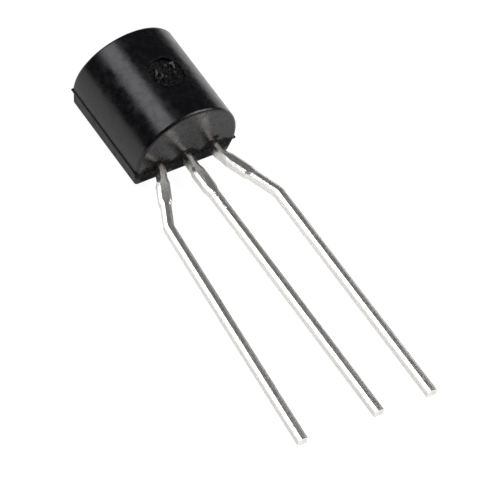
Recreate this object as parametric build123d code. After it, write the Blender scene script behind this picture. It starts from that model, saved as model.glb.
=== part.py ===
from build123d import *
from math import asin, atan2, degrees, hypot
import os

# A three-lead moulded transistor lying at rest: flat side down, lead tips on the table.
# Built upright first: X along the row of leads, Y from the round front to the flat, Z up the
# body with the leads pointing down. The last section lays every piece on the table.
# Millimetres throughout.

# --- driving sizes -----------------------------------------------------------------------
body_width = 4.48        # across the round front, at the parting line
body_height = 4.74       # end to end, at the parting line
front_straight = 0.35    # straight walls in front of the parting line
front_bulge = 2.06       # depth of the rounded front beyond the straight walls
rear_depth = 0.77        # parting line to the flat back
side_taper = 0.12        # how much narrower the flat is than the body, each side
front_draft = 0.0394     # slope of the end faces, front half
rear_draft = 0.0967      # slope of the end faces, rear half
rear_inset = 0.03        # the rear half is a little narrower than the front half
edge_round = 0.12
flash_thick = 0.07       # thin fin of resin squeezed out along the two long sides
flash_out = 0.04

pin_mark_width = 1.45    # round ejector-pin mark on the front
pin_mark_offset = 0.15
pin_mark_depth = 0.20
digit_height = 0.70
digit_width = 0.42
digit_gap = 0.20
digit_stroke = 0.09
digit_raise = 0.08

lead_width = 0.38
lead_thick = 0.35
lead_front = -0.19       # front face of the lead frame, measured from the parting line
edge_slope_width = 0.11  # sloping edge rolled by the stamping die, on the front face only
edge_slope_drop = 0.062
pitch = 1.27             # lead to lead, where they leave the body
centre_length = 13.38    # body to tip
base_straight = 0.38     # outer leads: straight part at the root, before the first bend
emitter_straight = 0.20
base_shoulder = 2.96     # outer leads: body to the second bend
emitter_shoulder = 2.70
base_spread = 2.313      # outer leads: how far from the centre lead they run after forming
emitter_spread = 2.478
emitter_splay = 0.078    # the emitter lead still leans outward beyond its second bend
cut_slope = 0.047        # the shear cut across the tips runs a little out of square
bend_radius = 0.5
stub_width = 0.50        # what is left of the tie bar that once joined the leads
stub_start = 0.87
stub_end = 1.73
stub_ramp = 0.22

flag_width = 1.50        # plate that carries the die, on the centre lead
flag_height = 1.70
frame_rise = 1.30        # bottom of the plate and of the bond posts, above the body's end
post_cover = 0.34        # resin between a bond post and the side of the body
post_height = 1.00
frame_gap = 0.25         # plate to bond post
neck_width = 0.45

die_size = 0.42
die_thick = 0.15
attach_thick = 0.03
attach_margin = 0.03
pad_offset = 0.10        # bond pads, either side of the die's centre
wire_width = 0.05
ball_width = 0.12
ball_thick = 0.04
wire_loop = 0.35         # top of the wire above the die

half = body_width / 2
flat_width = body_width - 2 * side_taper
front_depth = front_straight + front_bulge
lead_back = lead_front + lead_thick


def block(x0, x1, y0, y1, z0, z1):
    """A plain box between two corners."""
    return Pos((x0 + x1) / 2, (y0 + y1) / 2, (z0 + z1) / 2) * Box(x1 - x0, y1 - y0, z1 - z0)


def prism_x(points, width):
    """A prism along X from points given as (y, z), centred on X = 0."""
    face = Plane.YZ * make_face(Polyline(*points, close=True))
    return extrude(face, width / 2, both=True)


# --- moulded body ------------------------------------------------------------------------
# Front half: a rounded wall, its two end faces sloping in from the parting line.
wall = Line((half, 0), (half, -front_straight))
wall += EllipticalCenterArc((0, -front_straight), half, front_bulge, start_angle=180, arc_size=180)
wall += Line((-half, -front_straight), (-half, 0))
wall += Line((-half, 0), (half, 0))
front = extrude(make_face(wall), body_height, dir=(0, 0, 1))
drop = front_draft * front_depth
front &= prism_x([(0, 0), (0, body_height), (-front_depth, body_height - drop), (-front_depth, drop)],
                 body_width + 1)
end_faces = front.faces().sort_by(Axis.Z)
rims = [e for f in (end_faces[0], end_faces[-1]) for e in f.edges() if e.center().Y < -0.01]
front = fillet(rims, edge_round)

# Rear half: four sides sloping in to the flat back.
rear_outline = [(half - rear_inset, 0), (flat_width / 2, rear_depth),
                (-flat_width / 2, rear_depth), (-half + rear_inset, 0)]
rear = extrude(make_face(Polyline(*rear_outline, close=True)), body_height, dir=(0, 0, 1))
drop = rear_draft * rear_depth
rear &= prism_x([(0, 0), (0, body_height), (rear_depth, body_height - drop), (rear_depth, drop)],
                body_width + 1)
rear = fillet([e for e in rear.edges() if e.center().Y > 0.01], edge_round)

body = front + rear
for side in (-1, 1):
    x_in, x_out = side * (half - 0.2), side * (half + flash_out)
    body += block(min(x_in, x_out), max(x_in, x_out), -0.02, flash_thick - 0.02,
                  0.02, body_height - 0.02)

# Ejector-pin mark: a round recess with a flat floor and a plain raised number on it.
floor_y = -front_depth + pin_mark_depth
mark_at = Pos(pin_mark_offset, floor_y, body_height / 2) * Rot(90, 0, 0)
body -= mark_at * extrude(Circle(pin_mark_width / 2), 1)


def digit(*corners):
    """A raised digit made of straight pen strokes between corners of a unit box."""
    strokes = Sketch()
    for (x0, y0), (x1, y1) in zip(corners, corners[1:]):
        x0, x1 = x0 * digit_width, x1 * digit_width
        y0, y1 = (y0 - 0.5) * digit_height, (y1 - 0.5) * digit_height
        slot = SlotCenterToCenter(hypot(x1 - x0, y1 - y0), digit_stroke)
        strokes += Pos((x0 + x1) / 2, (y0 + y1) / 2) * Rot(0, 0, degrees(atan2(y1 - y0, x1 - x0))) * slot
    return strokes


four = digit((0.75, 0), (0.75, 1), (0, 0.3), (1, 0.3))
seven = digit((0, 1), (1, 1), (0.35, 0))
for offset, shape in ((-digit_gap / 2 - digit_width, four), (digit_gap / 2, seven)):
    body += mark_at * Pos(offset, 0, -0.02) * extrude(shape, digit_raise + 0.02)


# --- lead frame --------------------------------------------------------------------------
# Each lead is cut from one flat strip, so it is drawn as an outline and given its thickness.
def lead(root_x, straight, shoulder_x, shoulder_z, splay, inner):
    """One lead: path from inside the body, past two bends, to beyond the tip cut."""
    run = centre_length + 1
    tip_x = shoulder_x + splay * (run - shoulder_z)
    path = [(root_x, frame_rise + 0.2), (root_x, -straight), (shoulder_x, -shoulder_z), (tip_x, -run)]
    if root_x == shoulder_x:
        path = [path[0], path[-1]]
        line = Line(*path)
    else:
        line = FilletPolyline(*path, radius=bend_radius)
    strip = trace(line, lead_width)
    # Tie-bar stub: a wider length with sloping ends, on the second leg of the path.
    dx, dz = shoulder_x - root_x, shoulder_z - straight
    a, b = stub_start - straight, stub_end - straight
    w, n = stub_width / 2, lead_width / 2
    stub = make_face(Polyline((n, stub_ramp - a), (w, -a), (w, -b), (n, -b - stub_ramp),
                              (-n, -b - stub_ramp), (-w, -b), (-w, -a), (-n, stub_ramp - a), close=True))
    strip += Pos(root_x, -straight) * Rot(0, 0, degrees(atan2(dx, dz))) * stub
    strip += inner
    # Shear cut across the tip.
    far, lean = centre_length + 3, 6 * cut_slope
    strip -= make_face(Polyline((-6, -centre_length + lean), (6, -centre_length - lean),
                                (6, -far), (-6, -far), close=True))
    solid = extrude(Plane.XZ.offset(-lead_back) * strip, lead_thick)
    # The die rolls the long edges of the front face over.
    front_face = solid.faces().sort_by(Axis.Y)[0]
    rolled = [e for e in front_face.edges() if -centre_length + 0.4 < e.center().Z < frame_rise]
    return chamfer(rolled, edge_slope_width, edge_slope_drop, reference=front_face)


def plate(x0, x1, z0, z1):
    """A rectangle of the lead frame inside the body."""
    return Pos((x0 + x1) / 2, (z0 + z1) / 2) * Rectangle(abs(x1 - x0), z1 - z0)


post_in = flag_width / 2 + frame_gap
post_out = half - post_cover
flag = plate(-flag_width / 2, flag_width / 2, frame_rise, frame_rise + flag_height)
flag += plate(-neck_width / 2, neck_width / 2, 0.4, frame_rise + 0.1)
flag -= Pos(0, frame_rise + flag_height) * Circle(0.22)
post_left = plate(-post_out, -post_in, frame_rise, frame_rise + post_height)
post_left += plate(-pitch - neck_width / 2, -pitch + neck_width / 2, 0.4, frame_rise + 0.1)
post_right = mirror(post_left, Plane.YZ)

lead_collector = lead(0, 0, 0, 0, 0, flag)
lead_emitter = lead(-pitch, emitter_straight, -emitter_spread, emitter_shoulder, -emitter_splay, post_left)
lead_base = lead(pitch, base_straight, base_spread, base_shoulder, 0, post_right)

# --- die, its joint and the bond wires -----------------------------------------------------
flag_z = frame_rise + flag_height / 2
attach_face = lead_front - attach_thick
die_face = attach_face - die_thick
joint = die_size + 2 * attach_margin
die_attach = block(-joint / 2, joint / 2, attach_face, lead_front, flag_z - joint / 2, flag_z + joint / 2)
die_attach = fillet(die_attach.edges().filter_by(Axis.Y), attach_margin)
transistor_die = block(-die_size / 2, die_size / 2, die_face, attach_face,
                       flag_z - die_size / 2, flag_z + die_size / 2)
post_x = (post_in + post_out) / 2
post_z = frame_rise + 0.6 * post_height


def bond_wire(side):
    """A gold wire: a flattened ball on the die, a low loop, a wedge on the bond post."""
    start = Vector(side * pad_offset, die_face, flag_z - pad_offset / 2)
    end = Vector(side * post_x, lead_front, post_z)
    top = (start + end) * 0.5
    top = Vector(start.X + 0.35 * (end.X - start.X), die_face - wire_loop, top.Z)
    path = ThreePointArc(start + Vector(0, 0.02, 0), top, end + Vector(0, 0.02, 0))
    wire = sweep(Plane(path @ 0, z_dir=path % 0) * Circle(wire_width / 2), path)
    ball = Pos(start.X, die_face, start.Z) * Rot(90, 0, 0) * Cylinder(
        ball_width / 2, ball_thick, align=(Align.CENTER, Align.CENTER, Align.MIN))
    foot = Pos(end.X, lead_front, end.Z) * Rot(90, 0, 0) * Cylinder(
        ball_width / 2, ball_thick / 2, align=(Align.CENTER, Align.CENTER, Align.MIN))
    return wire + ball + foot


emitter_bond_wire = bond_wire(-1) - transistor_die - lead_emitter
base_bond_wire = bond_wire(1) - transistor_die - lead_base

# The resin closes round everything inside it.
for inside in (lead_collector, lead_emitter, lead_base, die_attach, transistor_die,
               emitter_bond_wire, base_bond_wire):
    body -= inside

# --- laying it on the table ----------------------------------------------------------------
# The flat side goes down and the leads point along +X. The whole part tips about the flat's
# lower edge, which is rounded, until the lead tips touch the table.
tip_z = -centre_length - cut_slope * base_spread
heel_y = rear_depth - edge_round
heel_z = rear_draft * rear_depth + edge_round
rise_y, rise_z = heel_y - lead_back, heel_z - tip_z
tilt = degrees(atan2(rise_y, rise_z) + asin(edge_round / hypot(rise_y, rise_z)))
laid = Rot(0, tilt, 0) * Plane(origin=(0, 0, 0), x_dir=(0, 1, 0), z_dir=(-1, 0, 0)).location

pieces = {
    "moulded_body": body,
    "lead_collector": lead_collector,
    "lead_emitter": lead_emitter,
    "lead_base": lead_base,
    "die_attach": die_attach,
    "transistor_die": transistor_die,
    "emitter_bond_wire": emitter_bond_wire,
    "base_bond_wire": base_bond_wire,
}
placed = {name: laid * piece for name, piece in pieces.items()}
boxes = [piece.bounding_box() for piece in placed.values()]
low = Vector(*(min(getattr(b.min, a) for b in boxes) for a in "XYZ"))
high = Vector(*(max(getattr(b.max, a) for b in boxes) for a in "XYZ"))
shift = Pos(-(low.X + high.X) / 2, -(low.Y + high.Y) / 2, -low.Z)

os.makedirs("parts", exist_ok=True)
for name, piece in placed.items():
    export_step(shift * piece, f"parts/{name}.step")
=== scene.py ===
from math import pi, radians
import random

import bpy
from mathutils import Matrix, Vector


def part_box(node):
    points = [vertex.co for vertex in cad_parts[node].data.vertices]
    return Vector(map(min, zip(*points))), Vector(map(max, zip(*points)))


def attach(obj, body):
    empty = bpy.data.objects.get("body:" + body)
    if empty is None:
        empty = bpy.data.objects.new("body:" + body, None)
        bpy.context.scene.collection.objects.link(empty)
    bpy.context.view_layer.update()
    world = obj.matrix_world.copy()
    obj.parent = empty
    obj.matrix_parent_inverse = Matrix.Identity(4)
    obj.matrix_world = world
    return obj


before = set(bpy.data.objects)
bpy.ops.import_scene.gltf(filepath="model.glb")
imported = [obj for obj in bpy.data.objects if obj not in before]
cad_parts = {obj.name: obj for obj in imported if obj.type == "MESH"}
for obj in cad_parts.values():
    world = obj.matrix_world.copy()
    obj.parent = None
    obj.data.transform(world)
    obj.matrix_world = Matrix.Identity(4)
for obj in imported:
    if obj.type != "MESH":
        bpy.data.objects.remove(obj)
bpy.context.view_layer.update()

scene = bpy.context.scene
scene.view_settings.view_transform = "Standard"

# --- table, backdrop and light -------------------------------------------------------------
# The part lies on a white card. One long softbox hangs over its left side and a weaker lamp
# stands at its right. The room beyond is dark, so the resin shows a single soft band of light.
card_half = 3.0
card_gap = 0.00001             # the card lies this far under the part
card_colour = 0.86
seen_glow, seen_shading = 0.94, 0.16       # the card as it is looked at: lifted to white
mirrored_glow, mirrored_shading = 0.28, 0.84  # the card as gloss and metal show it
room_glow, backdrop_glow = 0.045, 1.0      # the room in reflections, the white behind the part

softbox_toward, softbox_across = (-0.49, -0.39, 0.78), (0.0, -0.89, -0.45)
softbox_size, softbox_radiance = (0.25, 0.44), 3.6
softbox_tint = (0.965, 0.965, 1.0)
side_toward, side_across = (0.35, 0.60, 0.72), (0.60, -0.35, 0.0)
side_size, side_radiance = (0.38, 0.38), 4.8
side_tint = (1.0, 0.985, 0.96)
lamp_distance = 0.50

card_mesh = bpy.data.meshes.new("white_card")
card_mesh.from_pydata([(-card_half, -card_half, 0), (card_half, -card_half, 0),
                       (card_half, card_half, 0), (-card_half, card_half, 0)], [], [(0, 1, 2, 3)])
white_card = bpy.data.objects.new("white_card", card_mesh)
scene.collection.objects.link(white_card)
white_card.location.z = -card_gap

card_material = bpy.data.materials.new("card_white")
card_material.use_nodes = True
nodes, links = card_material.node_tree.nodes, card_material.node_tree.links
nodes.clear()


def card_coat(shading, glow):
    """The card's own shading in one amount, with a flat glow over it."""
    coat = nodes.new("ShaderNodeBsdfDiffuse")
    coat.inputs["Color"].default_value = (shading, shading, shading, 1)
    if not glow:
        return coat.outputs[0]
    lift = nodes.new("ShaderNodeEmission")
    lift.inputs["Strength"].default_value = glow
    added = nodes.new("ShaderNodeAddShader")
    links.new(coat.outputs[0], added.inputs[0])
    links.new(lift.outputs[0], added.inputs[1])
    return added.outputs[0]


path = nodes.new("ShaderNodeLightPath")
mirrored = nodes.new("ShaderNodeMath")
mirrored.operation = "MAXIMUM"
links.new(path.outputs["Is Glossy Ray"], mirrored.inputs[0])
links.new(path.outputs["Is Transmission Ray"], mirrored.inputs[1])
for_gloss = nodes.new("ShaderNodeMixShader")
for_camera = nodes.new("ShaderNodeMixShader")
card_out = nodes.new("ShaderNodeOutputMaterial")
links.new(mirrored.outputs[0], for_gloss.inputs[0])
links.new(card_coat(card_colour, 0), for_gloss.inputs[1])
links.new(card_coat(mirrored_shading, mirrored_glow), for_gloss.inputs[2])
links.new(path.outputs["Is Camera Ray"], for_camera.inputs[0])
links.new(for_gloss.outputs[0], for_camera.inputs[1])
links.new(card_coat(seen_shading, seen_glow), for_camera.inputs[2])
links.new(for_camera.outputs[0], card_out.inputs["Surface"])
card_mesh.materials.append(card_material)

room = bpy.data.worlds.new("dim_room")
scene.world = room
room.use_nodes = True
nodes, links = room.node_tree.nodes, room.node_tree.links
nodes.clear()
room_mix = nodes.new("ShaderNodeMixShader")
room_path = nodes.new("ShaderNodeLightPath")
room_out = nodes.new("ShaderNodeOutputWorld")
links.new(room_path.outputs["Is Camera Ray"], room_mix.inputs[0])
for socket, glow in ((1, room_glow), (2, backdrop_glow)):
    shade = nodes.new("ShaderNodeBackground")
    shade.inputs["Color"].default_value = (1, 1, 1, 1)
    shade.inputs["Strength"].default_value = glow
    links.new(shade.outputs[0], room_mix.inputs[socket])
links.new(room_mix.outputs[0], room_out.inputs["Surface"])


def soft_lamp(name, toward, across, size, radiance):
    """A rectangular light facing the part, given by how bright its face looks."""
    data = bpy.data.lights.new(name, "AREA")
    data.shape = "RECTANGLE"
    data.size, data.size_y = size
    data.energy = radiance * pi * size[0] * size[1]
    lamp = bpy.data.objects.new(name, data)
    back = Vector(toward).normalized()
    up = back.cross(Vector(across)).normalized()
    lamp.matrix_world = Matrix((up.cross(back), up, back)).transposed().to_4x4()
    lamp.location = back * lamp_distance
    lamp.visible_camera = False
    scene.collection.objects.link(lamp)
    return data


softbox = soft_lamp("long_softbox", softbox_toward, softbox_across, softbox_size, softbox_radiance)
softbox.color = softbox_tint
side_fill = soft_lamp("side_fill", side_toward, side_across, side_size, side_radiance)
side_fill.color = side_tint

# --- camera --------------------------------------------------------------------------------
# A long lens looks down over the lead tips from the emitter lead's side, rolled a little.
camera_place = (0.078759, -0.072261, 0.119194)
camera_tilt, camera_roll, camera_turn = 41.2446, -8.5314, 56.7761
lens_length, sensor_width = 306.85, 36
clip_near, clip_far = 0.001, 10

camera_data = bpy.data.cameras.new("bench_camera")
camera_data.lens = lens_length
camera_data.sensor_width = sensor_width
camera_data.clip_start = clip_near
camera_data.clip_end = clip_far
camera = bpy.data.objects.new("bench_camera", camera_data)
camera.location = camera_place
camera.rotation_euler = (radians(camera_tilt), radians(camera_roll), radians(camera_turn))
scene.collection.objects.link(camera)
scene.camera = camera

# --- moulded body --------------------------------------------------------------------------
# Black epoxy, moulded round the lead frame in a two-part tool. The front half left a worn,
# half-polished tool and shines softly; the rear half and the parting fin are duller.
epoxy_black = (0.0020, 0.0021, 0.0032)
epoxy_pale = (0.0042, 0.0043, 0.0058)
# dead black of torn resin and the ejector mark; round the leads it is also painted shade
dead_black_and_shade = (0.0015, 0.0015, 0.0017)
# painted highlight on the tops of the mark's raised strokes
stroke_highlight = (0.075, 0.075, 0.08)
epoxy_gloss, epoxy_dull = 0.24, 0.42       # roughness of the front half and of the rear half
epoxy_ior = 1.45
cloud_spread = (-0.04, 0.05)               # change of roughness from broad clouds of wear
smear_spread = (-0.03, 0.08)               # and from small smears
filler_depth = 0.0000016                   # filler grains under the skin
pit_depth = 0.00004                        # pits in the ejector mark
torn_depth = 0.00012                       # broken resin
mm_per_metre = 1000
grain_roughness = 0.6


def grain_group():
    """Shared fine unevenness: a tone and a height from stretched noise, sized in millimetres."""
    group = bpy.data.node_groups.new("fine_grain", "ShaderNodeTree")
    faces = group.interface
    for name, value in (("Grains per mm", 10.0), ("Detail", 4.0), ("Low", 0.35), ("High", 0.65)):
        faces.new_socket(name, in_out="INPUT", socket_type="NodeSocketFloat").default_value = value
    stretch = faces.new_socket("Stretch", in_out="INPUT", socket_type="NodeSocketVector")
    stretch.default_value = (1, 1, 1)
    faces.new_socket("Tone", in_out="OUTPUT", socket_type="NodeSocketFloat")
    faces.new_socket("Raw", in_out="OUTPUT", socket_type="NodeSocketFloat")
    nodes, links = group.nodes, group.links
    given = nodes.new("NodeGroupInput")
    made = nodes.new("NodeGroupOutput")
    place = nodes.new("ShaderNodeTexCoord")
    in_mm = nodes.new("ShaderNodeVectorMath")
    in_mm.operation = "SCALE"
    in_mm.inputs["Scale"].default_value = mm_per_metre
    stretched = nodes.new("ShaderNodeVectorMath")
    stretched.operation = "MULTIPLY"
    noise = nodes.new("ShaderNodeTexNoise")
    noise.inputs["Roughness"].default_value = grain_roughness
    spread = nodes.new("ShaderNodeMapRange")
    links.new(place.outputs["Object"], in_mm.inputs[0])
    links.new(in_mm.outputs[0], stretched.inputs[0])
    links.new(given.outputs["Stretch"], stretched.inputs[1])
    links.new(stretched.outputs[0], noise.inputs["Vector"])
    links.new(given.outputs["Grains per mm"], noise.inputs["Scale"])
    links.new(given.outputs["Detail"], noise.inputs["Detail"])
    links.new(noise.outputs["Fac"], spread.inputs["Value"])
    links.new(given.outputs["Low"], spread.inputs["From Min"])
    links.new(given.outputs["High"], spread.inputs["From Max"])
    links.new(spread.outputs[0], made.inputs["Tone"])
    links.new(noise.outputs["Fac"], made.inputs["Raw"])
    return group


fine_grain = grain_group()


def grain(nodes, per_mm, low=0.35, high=0.65, stretch=(1, 1, 1), detail=4.0):
    """Places the shared grain in a material."""
    node = nodes.new("ShaderNodeGroup")
    node.node_tree = fine_grain
    node.inputs["Grains per mm"].default_value = per_mm
    node.inputs["Detail"].default_value = detail
    node.inputs["Low"].default_value = low
    node.inputs["High"].default_value = high
    node.inputs["Stretch"].default_value = stretch
    return node


def remap(nodes, links, value, low, high, from_low=0.0, from_high=1.0):
    """Spreads a mask over a range of values."""
    node = nodes.new("ShaderNodeMapRange")
    node.inputs["From Min"].default_value = from_low
    node.inputs["From Max"].default_value = from_high
    node.inputs["To Min"].default_value = low
    node.inputs["To Max"].default_value = high
    links.new(value, node.inputs["Value"])
    return node.outputs[0]


def calculate(nodes, links, operation, a, b):
    """One sum of two masks or a mask and a number."""
    node = nodes.new("ShaderNodeMath")
    node.operation = operation
    for socket, value in zip(node.inputs, (a, b)):
        if isinstance(value, (int, float)):
            socket.default_value = value
        else:
            links.new(value, socket)
    return node.outputs[0]


def between(nodes, links, mask, colour_a, colour_b):
    """A colour that goes from one to the other with a mask."""
    node = nodes.new("ShaderNodeMix")
    node.data_type = "RGBA"
    for name, colour in (("A", colour_a), ("B", colour_b)):
        socket = [s for s in node.inputs if s.name == name and s.type == "RGBA"][0]
        if isinstance(colour, tuple):
            socket.default_value = (*colour, 1)
        else:
            links.new(colour, socket)
    links.new(mask, node.inputs["Factor"])
    return [s for s in node.outputs if s.type == "RGBA"][0]


def bumped(nodes, links, height, depth, under=None):
    """A bump in metres of real depth."""
    node = nodes.new("ShaderNodeBump")
    node.inputs["Strength"].default_value = 1.0
    node.inputs["Distance"].default_value = depth
    links.new(height, node.inputs["Height"])
    if under is not None:
        links.new(under, node.inputs["Normal"])
    return node.outputs[0]


def new_material(name):
    """An empty node material with its Principled shader."""
    material = bpy.data.materials.new(name)
    material.use_nodes = True
    nodes, links = material.node_tree.nodes, material.node_tree.links
    return material, nodes, links, nodes["Principled BSDF"]


def dress(node_name, material):
    """Gives a CAD node its finish."""
    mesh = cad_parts[node_name].data
    mesh.materials.clear()
    mesh.materials.append(material)


def peak(nodes, links, value, centre, reach):
    """A mask that is 1 at a place along one axis and falls to 0 at its reach, either side."""
    away = calculate(nodes, links, "SUBTRACT", value, centre)
    away = calculate(nodes, links, "ABSOLUTE", away, 0.0)
    return remap(nodes, links, away, 1.0, 0.0, 0.0, reach)


body_low, body_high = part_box("moulded_body")
collector_low, collector_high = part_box("lead_collector")
row_centre = (collector_low.y + collector_high.y) / 2
pitch = 0.00127
parting_height = 0.00076      # parting plane above the table, where the leads come out
torn_and_shade_half_width = 0.00025     # torn resin and painted shade along the parting line of the end face
torn_and_shade_round_lead = 0.00042     # and how much wider it is round each lead, where the painted shade of the leads falls
torn_lead_reach = 0.0007      # sideways from a lead's middle
torn_swing = (0.35, 1.7)      # the ragged edge lies between these shares of its reach
torn_drop = 0.00016           # the middle of the strip of torn resin and painted shade lies this far under the parting plane
torn_fade = 0.00004
end_band = (0.00024, 0.00016)  # depths behind the end face between which the torn resin and painted shade start
pin_mark_radius = 0.000725
pin_mark_offset = 0.00015
pin_mark_forward = 0.00009    # the body is tipped, which carries the mark towards the leads
pin_mark_fade = 0.00003
front_fade = 0.0003           # height over which the mark's mask starts above the middle
tipped_slope = 0.0446         # the part falls towards its lead tips, for each unit of length
stroke_height = 0.00284       # level of the raised strokes' tops, carried along the slope to x = 0
stroke_fade = 0.00001
rear_band = (0.00080, 0.00100)  # heights between which the dull rear half gives way to the front

epoxy, nodes, links, shader = new_material("black_epoxy")
filler = grain(nodes, per_mm=26, low=0.38, high=0.64)
clouds = grain(nodes, per_mm=1.7, low=0.35, high=0.65)
smears = grain(nodes, per_mm=4.5, low=0.40, high=0.66, detail=5)
place = nodes.new("ShaderNodeTexCoord")
axes = nodes.new("ShaderNodeSeparateXYZ")
links.new(place.outputs["Object"], axes.inputs[0])
x_here, y_here, z_here = axes.outputs["X"], axes.outputs["Y"], axes.outputs["Z"]

# Torn resin and painted shade: the torn resin is dull and rough, and its dead black also paints the leads'
# shade, widest round each lead.
near_lead = 0.0
for step in (-1, 0, 1):
    near_lead = calculate(nodes, links, "MAXIMUM",
                          peak(nodes, links, y_here, row_centre + step * pitch, torn_lead_reach), near_lead)
torn_and_shade_reach = calculate(nodes, links, "MULTIPLY", near_lead, torn_and_shade_round_lead)
torn_and_shade_reach = calculate(nodes, links, "ADD", torn_and_shade_reach, torn_and_shade_half_width)
ragged = grain(nodes, per_mm=3.2, low=0.30, high=0.70, stretch=(1, 1, 1.6), detail=7)
torn_and_shade_reach = calculate(nodes, links, "MULTIPLY", torn_and_shade_reach,
                       remap(nodes, links, ragged.outputs["Tone"], *torn_swing))
from_parting = calculate(nodes, links, "SUBTRACT", z_here, parting_height - torn_drop)
from_parting = calculate(nodes, links, "ABSOLUTE", from_parting, 0.0)
torn_and_shade = calculate(nodes, links, "SUBTRACT", torn_and_shade_reach, from_parting)
torn_and_shade = remap(nodes, links, torn_and_shade, 0.0, 1.0, 0.0, torn_fade)
at_end = remap(nodes, links, x_here, 0.0, 1.0, body_high.x - end_band[0], body_high.x - end_band[1])
torn_and_shade = calculate(nodes, links, "MULTIPLY", torn_and_shade, at_end)

# The ejector pin's round mark is rougher and coarser than the polished skin round it.
mark_x = (body_low.x + body_high.x) / 2 + pin_mark_forward
mark_y = row_centre + pin_mark_offset
off_x = calculate(nodes, links, "SUBTRACT", x_here, mark_x)
off_y = calculate(nodes, links, "SUBTRACT", y_here, mark_y)
from_mark = calculate(nodes, links, "ADD", calculate(nodes, links, "MULTIPLY", off_x, off_x),
                      calculate(nodes, links, "MULTIPLY", off_y, off_y))
from_mark = calculate(nodes, links, "SQRT", from_mark, 0.0)
in_mark = remap(nodes, links, from_mark, 1.0, 0.0, pin_mark_radius - pin_mark_fade, pin_mark_radius)
middle = body_high.z / 2
on_front = remap(nodes, links, z_here, 0.0, 1.0, middle, middle + front_fade)
in_mark = calculate(nodes, links, "MULTIPLY", in_mark, on_front)
pitted = grain(nodes, per_mm=7.0, low=0.35, high=0.65, detail=5)

skin = between(nodes, links, filler.outputs["Tone"], epoxy_black, epoxy_pale)
skin = between(nodes, links, in_mark, skin, dead_black_and_shade)
# The tops of the raised strokes in the mark get a painted highlight: a light grey, broken up by a grain.
mark_floor = calculate(nodes, links, "MULTIPLY", x_here, -tipped_slope)
mark_floor = calculate(nodes, links, "SUBTRACT", z_here, mark_floor)
stroke_tops = remap(nodes, links, mark_floor, 0.0, 1.0, stroke_height - stroke_fade, stroke_height)
stroke_tops = calculate(nodes, links, "MULTIPLY", stroke_tops, in_mark)
highlight_breakup = grain(nodes, per_mm=5.0, low=0.49, high=0.60, detail=3)
stroke_tops = calculate(nodes, links, "MULTIPLY", stroke_tops, highlight_breakup.outputs["Tone"])
skin = between(nodes, links, stroke_tops, skin, stroke_highlight)
# The torn band's dead black is partly painted shade of the leads.
links.new(between(nodes, links, torn_and_shade, skin, dead_black_and_shade), shader.inputs["Base Color"])
rough_here = remap(nodes, links, clouds.outputs["Tone"],
                   epoxy_gloss + cloud_spread[0], epoxy_gloss + cloud_spread[1])
rough_here = calculate(nodes, links, "ADD", rough_here,
                       remap(nodes, links, smears.outputs["Tone"], *smear_spread))
rear = remap(nodes, links, z_here, epoxy_dull - epoxy_gloss, 0.0, *rear_band)
rough_here = calculate(nodes, links, "ADD", rough_here, rear)
rough_here = calculate(nodes, links, "MAXIMUM", rough_here, torn_and_shade)
links.new(rough_here, shader.inputs["Roughness"])
shader.inputs["IOR"].default_value = epoxy_ior
skin_bump = bumped(nodes, links, filler.outputs["Raw"], filler_depth)
pits = calculate(nodes, links, "MULTIPLY", in_mark, pitted.outputs["Raw"])
skin_bump = bumped(nodes, links, pits, pit_depth, skin_bump)
torn_height = calculate(nodes, links, "MULTIPLY", torn_and_shade, ragged.outputs["Raw"])
links.new(bumped(nodes, links, torn_height, torn_depth, skin_bump), shader.inputs["Normal"])
dress("moulded_body", epoxy)


fin_height_shares = (0.15, 0.3, 0.45, 0.7, 1.0)   # of the fin's full reach
fin_height_luck = (0.7, 1)
fin_end_share = 0.02
fin_lean = 0.5                                    # of the rim to either side, as a share of the root
fin_rim_share = 0.1                               # half the rim, as a share of the root


def ragged_fin(name, base_points, out, reach, thick, material, seed):
    """A thin torn edge: a wedge that stands out from a line of points by a different amount
    at each, with a knife-thin rim."""
    luck = random.Random(seed)
    side = (base_points[-1] - base_points[0]).normalized().cross(out).normalized()
    points, faces = [], []
    count = len(base_points)
    for index, base in enumerate(base_points):
        ends = index in (0, count - 1)
        if ends:
            height = fin_end_share * reach
        else:
            height = reach * luck.choice(fin_height_shares) * luck.uniform(*fin_height_luck)
        lean = luck.uniform(-fin_lean, fin_lean) * thick
        rim = base + out * height
        points += [base - side * thick / 2, base + side * thick / 2,
                   rim + side * (lean + fin_rim_share * thick),
                   rim + side * (lean - fin_rim_share * thick)]
    for index in range(count - 1):
        a, b = 4 * index, 4 * index + 4
        for corner in range(4):
            after = (corner + 1) % 4
            faces.append((a + corner, a + after, b + after, b + corner))
    faces += [(3, 2, 1, 0), tuple(4 * (count - 1) + i for i in range(4))]
    mesh = bpy.data.meshes.new(name)
    mesh.from_pydata(points, [], faces)
    mesh.materials.append(material)
    piece = bpy.data.objects.new(name, mesh)
    scene.collection.objects.link(piece)
    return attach(piece, "root")


def spaced(start, end, count):
    """Points along a straight line."""
    return [start.lerp(end, i / (count - 1)) for i in range(count)]


# Flash between and beside the leads: where each run starts and ends across the end face, how
# far it stands out, and the seed of its raggedness.
flash_runs = ((-0.00145, -0.00098, 0.00013, 11), (-0.00052, 0.00022, 0.00010, 23),
              (0.00076, 0.00150, 0.00013, 5), (0.00202, 0.00250, 0.00011, 17))
flash_root_x = body_high.x - 0.00004              # rooted just inside the drafted end face
flash_root_z = parting_height - 0.00002
flash_thick = 0.00005
flash_points = 22
flash_out = Vector((1, 0, 0.15)).normalized()
for number, (left, right, reach, seed) in enumerate(flash_runs):
    start = Vector((flash_root_x, left, flash_root_z))
    end = Vector((flash_root_x, right, flash_root_z))
    fin = ragged_fin(f"resin_flash_{number + 1}", spaced(start, end, flash_points), flash_out,
                     reach, flash_thick, epoxy, seed)

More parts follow.
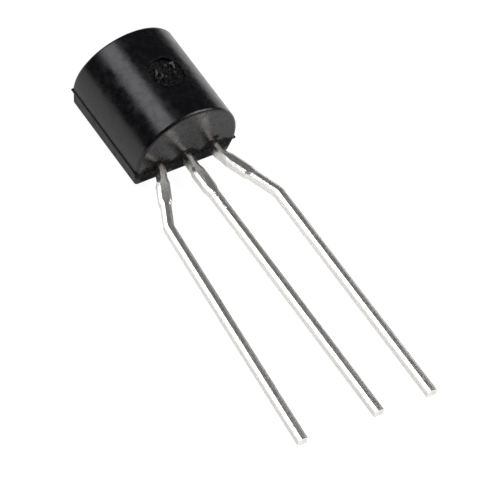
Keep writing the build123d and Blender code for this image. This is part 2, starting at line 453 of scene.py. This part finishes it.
# --- leads ---------------------------------------------------------------------------------
# Three legs of one stamped copper-alloy strip, dipped in tin after moulding. Stamping leaves
# rolled upper edges and drag lines down the sheared sides. Close to the resin the tin is thin
# and brown copper shows through.
tin_light = (0.96, 0.95, 0.92)
tin_dark = (0.86, 0.85, 0.82)
tin_gloss, tin_dull = 0.27, 0.36
copper_brown = (0.17, 0.115, 0.08)
drag_depth = 0.000014          # drag lines along the sheared sides
mottle_depth = 0.000004
bare_band = (-0.0001, 0.0008)  # from the end face, where the thin tin gives way to full tin

tin, nodes, links, shader = new_material("dipped_tin")
drag = grain(nodes, per_mm=12, low=0.32, high=0.68, stretch=(0.10, 1, 1), detail=6)
mottle = grain(nodes, per_mm=16, low=0.36, high=0.64, stretch=(0.5, 1, 1), detail=5)
bare = grain(nodes, per_mm=3.0, low=0.36, high=0.56)
place = nodes.new("ShaderNodeTexCoord")
axes = nodes.new("ShaderNodeSeparateXYZ")
links.new(place.outputs["Object"], axes.inputs[0])
root_mask = remap(nodes, links, axes.outputs["X"], 1.0, 0.0,
                  body_high.x + bare_band[0], body_high.x + bare_band[1])
root_mask = calculate(nodes, links, "MULTIPLY", root_mask, bare.outputs["Tone"])
tinned = between(nodes, links, mottle.outputs["Tone"], tin_dark, tin_light)
links.new(between(nodes, links, root_mask, tinned, copper_brown), shader.inputs["Base Color"])
shader.inputs["Metallic"].default_value = 1.0
links.new(remap(nodes, links, mottle.outputs["Tone"], tin_dull, tin_gloss), shader.inputs["Roughness"])
tin_bump = bumped(nodes, links, drag.outputs["Raw"], drag_depth)
links.new(bumped(nodes, links, mottle.outputs["Raw"], mottle_depth, tin_bump), shader.inputs["Normal"])
for name in ("lead_emitter", "lead_collector", "lead_base"):
    dress(name, tin)

# A burr stands on the collector's left edge, where the tie bar was sheared away: how far out
# from the body each run starts and ends, how high it stands, and its seed.
burr_runs = ((0.00115, 0.00162, 0.00006, 3), (0.00198, 0.00245, 0.00011, 8),
             (0.00255, 0.00310, 0.00010, 21))
lead_half_width = 0.00019
burr_inset, burr_sink = 0.00011, 0.00003          # in from the side and down from the top
burr_y = row_centre - lead_half_width + burr_inset
burr_z = parting_height + lead_half_width - burr_sink
burr_thick = 0.00006
burr_points = 15
burr_out = Vector((0, 0.1, 1)).normalized()
for number, (near, far, reach, seed) in enumerate(burr_runs):
    start = Vector((body_high.x + near, burr_y, burr_z - near * tipped_slope))
    end = Vector((body_high.x + far, burr_y, burr_z - far * tipped_slope))
    burr = ragged_fin(f"shear_burr_{number + 1}", spaced(start, end, burr_points), burr_out,
                      reach, burr_thick, tin, seed)

# --- die attach ----------------------------------------------------------------------------
# A thin square of silver-filled epoxy that glues the die to the collector's plate.
glue_grey, flake_silver = (0.42, 0.42, 0.41), (0.72, 0.71, 0.69)
glue_roughness = (0.35, 0.6)
flake_depth = 0.000004


def flecked(name, dark, light, roughness, metallic, depth, **fleck_sizes):
    """A finish whose colour, gloss and height all follow one fine grain."""
    material, nodes, links, shader = new_material(name)
    flecks = grain(nodes, **fleck_sizes)
    links.new(between(nodes, links, flecks.outputs["Tone"], dark, light), shader.inputs["Base Color"])
    shader.inputs["Metallic"].default_value = metallic
    links.new(remap(nodes, links, flecks.outputs["Tone"], *roughness), shader.inputs["Roughness"])
    links.new(bumped(nodes, links, flecks.outputs["Raw"], depth), shader.inputs["Normal"])
    return material


dress("die_attach", flecked("silver_epoxy", glue_grey, flake_silver, glue_roughness,
                            metallic=0.8, depth=flake_depth, per_mm=60, low=0.4, high=0.6))

# --- die -----------------------------------------------------------------------------------
# A sawn square of silicon: polished and blue-grey on top, with fine saw lines on its sides.
silicon_dark, silicon_light = (0.16, 0.17, 0.20), (0.27, 0.28, 0.32)
silicon_roughness = (0.16, 0.30)
saw_line_depth = 0.000001

dress("transistor_die", flecked("sawn_silicon", silicon_dark, silicon_light, silicon_roughness,
                                metallic=0.7, depth=saw_line_depth, per_mm=40, stretch=(0.1, 0.1, 1)))

# --- bond wires ----------------------------------------------------------------------------
# Gold wire, melted to a ball on the die and pressed flat on each bond post.
gold_deep, gold_bright = (0.83, 0.57, 0.20), (0.95, 0.70, 0.30)
gold_roughness = (0.16, 0.28)
ripple_depth = 0.000001

bond_gold = flecked("bond_gold", gold_deep, gold_bright, gold_roughness,
                    metallic=1.0, depth=ripple_depth, per_mm=30)
for name in ("emitter_bond_wire", "base_bond_wire"):
    dress(name, bond_gold)
